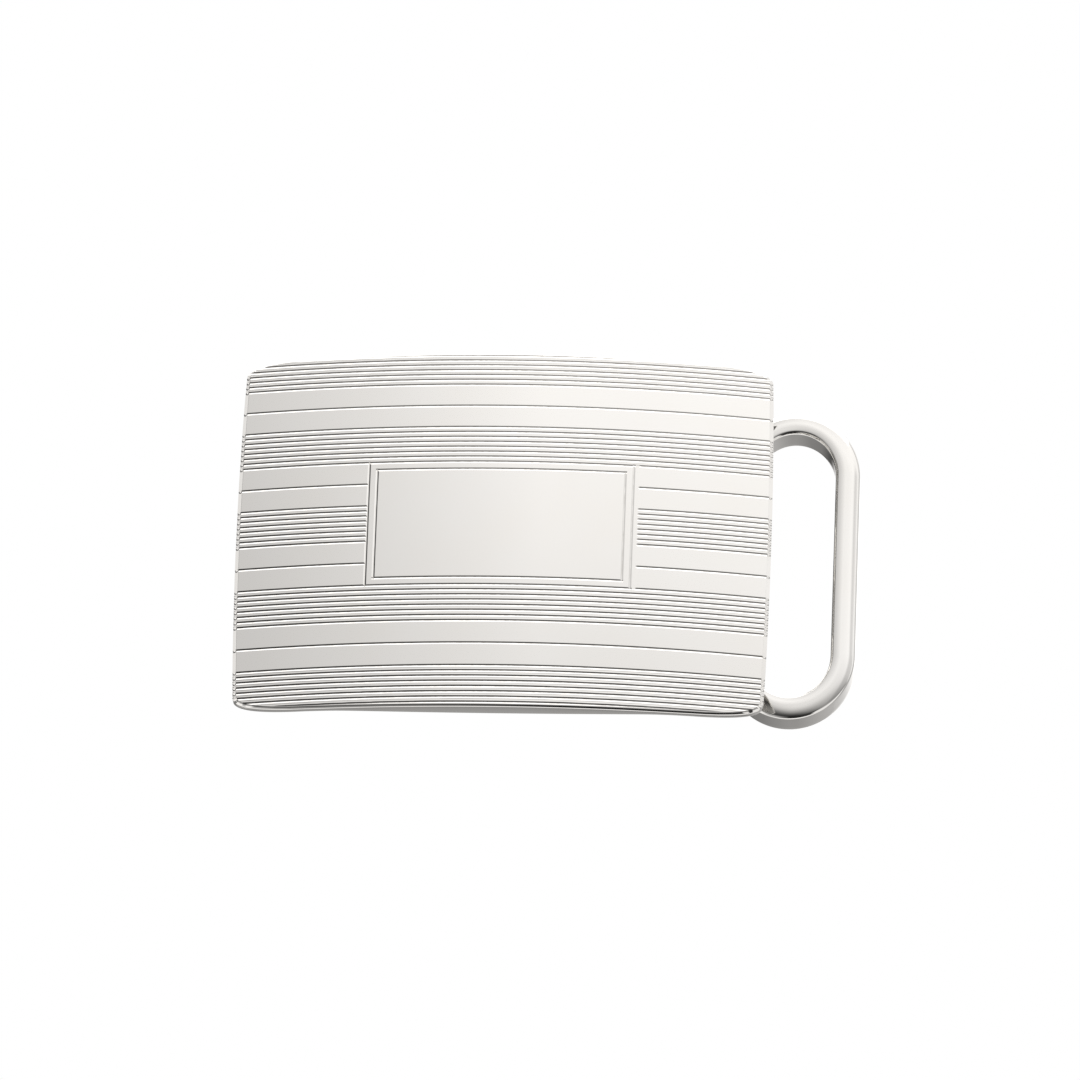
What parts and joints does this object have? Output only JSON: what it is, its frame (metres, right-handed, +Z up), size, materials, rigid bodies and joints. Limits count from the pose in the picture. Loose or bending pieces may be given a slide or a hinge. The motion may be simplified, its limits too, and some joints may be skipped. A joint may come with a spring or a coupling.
{
  "type": "belt buckle",
  "caption": "Curved engine-turned silver plaque belt buckle with a plain engraved tablet, a hinged strap loop behind one end and a fixed belt hook behind the other",
  "frame": {"origin": "Middle of the plaque, where the strap passes behind it, level with the rear edge of the rim at mid length", "axes": "+X towards the strap loop, +Y from the face to the wearer, +Z up as worn"},
  "size_m": [0.0602, 0.0108, 0.0388],
  "materials": {
    "silver_polished": "mirror polish",
    "silver_satin": "satin"
  },
  "bodies": {
    "plaque": {"face_plate": "silver_polished", "rim_frame": "silver_polished", "hinge_bearer": "silver_satin", "hinge_knuckle_upper": "silver_satin", "hinge_knuckle_lower": "silver_satin", "hook_bearer": "silver_satin", "belt_hook": "silver_satin"},
    "loop": {"strap_loop": "silver_polished"}
  },
  "joints": [
    {"name": "loop_swing", "type": "hinge", "parent": "plaque", "child": "loop", "pos_m": [0.02278, 0.00647, 0], "axis": [0, 0, 1], "range_deg": [-30, 180]}
  ]
}
